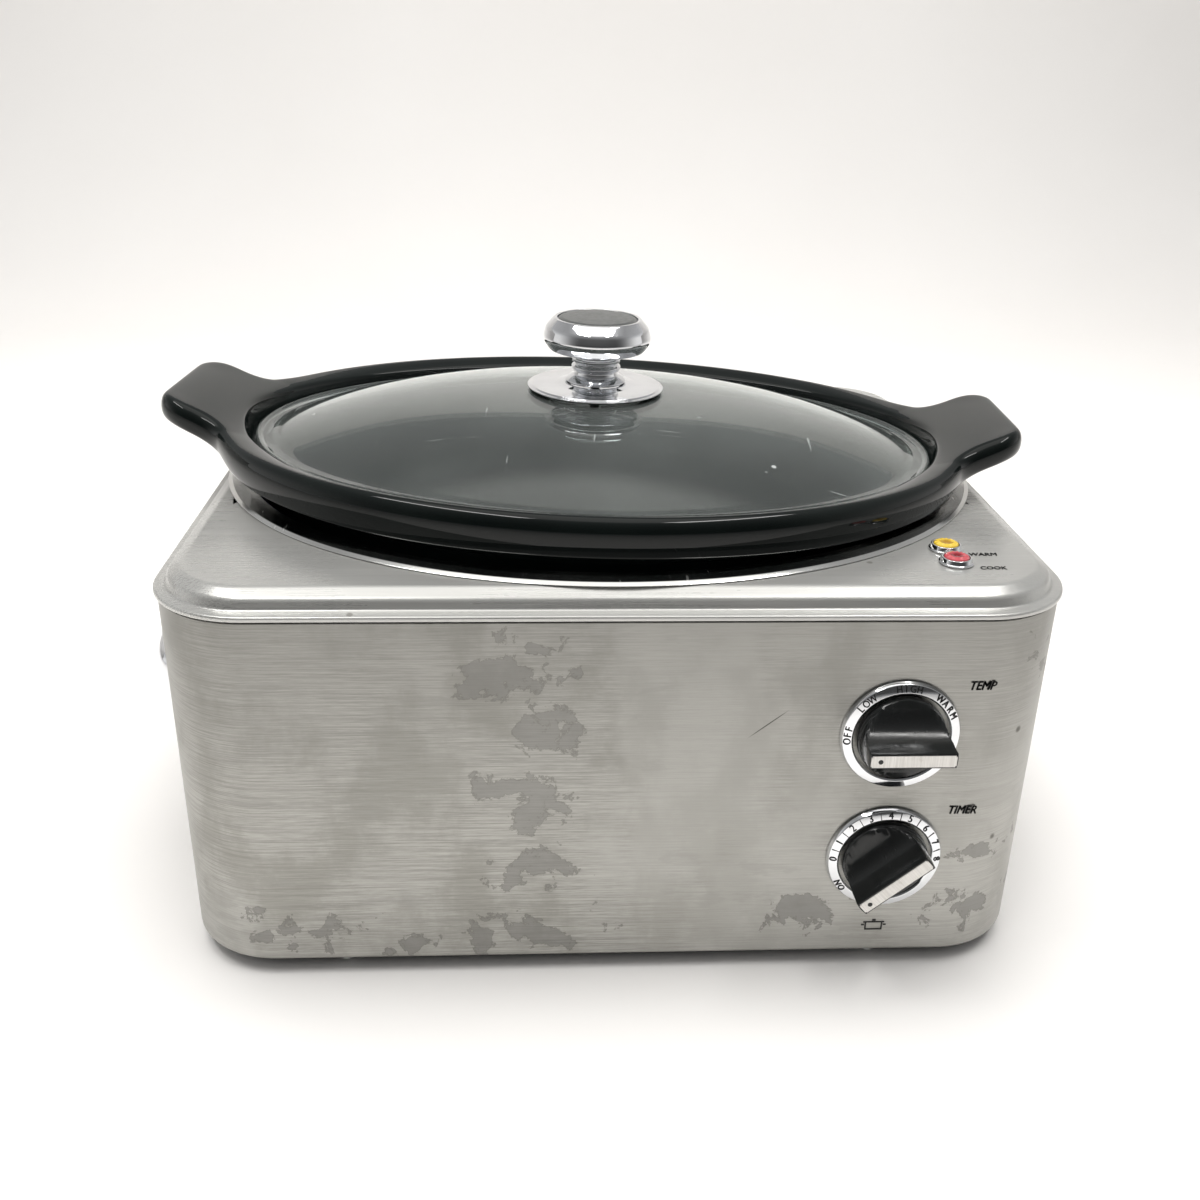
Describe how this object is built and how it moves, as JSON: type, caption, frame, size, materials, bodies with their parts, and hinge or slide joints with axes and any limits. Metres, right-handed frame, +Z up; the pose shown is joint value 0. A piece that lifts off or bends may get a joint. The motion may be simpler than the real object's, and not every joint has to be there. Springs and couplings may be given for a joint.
{
  "type": "slow cooker",
  "caption": "Oval slow cooker: brushed steel rectangular casing, black stoneware crock with side ears, domed glass lid with chrome knob, two front control dials and two pilot lights.",
  "frame": {"origin": "on the floor plane under the middle of the whole cooker's box, knobs, handles and cord gland included", "axes": "+Z up, +X to the right as seen by someone who faces the controls, -Y out of the front with the controls"},
  "size_m": [0.4486, 0.3614, 0.2624],
  "materials": {
    "brushed_steel": "fine horizontal brushing, worn and lightly stained",
    "polished_steel": "polished, with fine scratches",
    "zinc_steel": "dull zinc plate",
    "aluminium": "plain mill finish",
    "chrome": "bright chrome plate",
    "black_glaze": "black glaze, high gloss",
    "lid_glass": "clear tempered glass with a faint green-grey tint",
    "black_gloss": "glossy",
    "black_matt": "matt black paint",
    "satin_silver": "satin foil strip with a black index dot",
    "grey_cap": "smooth, slightly worn",
    "amber_lens": "clear moulded facets",
    "red_lens": "clear moulded facets",
    "rubber": "matt",
    "mica": "mica sheet wound with resistance wire",
    "glass_wool": "loose fibre blanket",
    "white_ceramic": "unglazed",
    "switch_plastic": "plain moulding"
  },
  "bodies": {
    "housing": {"base_screw_back_left": "zinc_steel", "base_screw_back_right": "zinc_steel", "base_screw_front_left": "zinc_steel", "base_screw_front_right": "zinc_steel", "bottom_plate": "black_matt", "control_bracket": "zinc_steel", "cook_light_bezel": "chrome", "cook_light_lamp": "white_ceramic", "cook_light_lens": "red_lens", "cord_gland": "rubber", "foot_back_left": "rubber", "foot_back_right": "rubber", "foot_front_left": "rubber", "foot_front_right": "rubber", "handle_left": "chrome", "handle_right": "chrome", "handle_screw_back_left": "zinc_steel", "handle_screw_back_right": "zinc_steel", "handle_screw_front_left": "zinc_steel", "handle_screw_front_right": "zinc_steel", "heat_shield": "zinc_steel", "heater_band": "mica", "heating_well": "aluminium", "housing_wrap": "brushed_steel", "insulation_blanket": "glass_wool", "opening_ring": "polished_steel", "reflector_plate": "zinc_steel", "temp_dial_ring": "chrome", "temp_switch": "switch_plastic", "terminal_block": "white_ceramic", "thermal_cutoff": "white_ceramic", "thermostat_sensor": "aluminium", "timer_dial_ring": "chrome", "timer_movement": "zinc_steel", "top_deck": "brushed_steel", "warm_light_bezel": "chrome", "warm_light_lamp": "white_ceramic", "warm_light_lens": "amber_lens"},
    "crock": {"crock": "black_glaze"},
    "lid": {"glass_lid": "lid_glass", "lid_disc": "chrome", "lid_knob": "chrome", "knob_cap": "grey_cap", "lid_washer": "rubber", "lid_screw": "zinc_steel"},
    "temp_control": {"temp_knob": "black_gloss", "temp_knob_pointer": "satin_silver", "temp_knob_shaft": "zinc_steel"},
    "timer_control": {"timer_knob": "black_gloss", "timer_knob_pointer": "satin_silver", "timer_knob_shaft": "zinc_steel"}
  },
  "joints": [
    {"name": "crock_lift", "type": "slide", "parent": "housing", "child": "crock", "axis": [0, 0, 1], "range_m": [0, 0.16]},
    {"name": "lid_lift", "type": "slide", "parent": "crock", "child": "lid", "axis": [0, 0, 1], "range_m": [0, 0.05]},
    {"name": "temp_turn", "type": "hinge", "parent": "housing", "child": "temp_control", "pos_m": [0.1193, -0.1582, 0.1228], "axis": [0, 1, 0], "range_deg": [0, 145]},
    {"name": "timer_turn", "type": "hinge", "parent": "housing", "child": "timer_control", "pos_m": [0.1193, -0.1582, 0.0606], "axis": [0, 1, 0], "range_deg": [0, 218]}
  ]
}
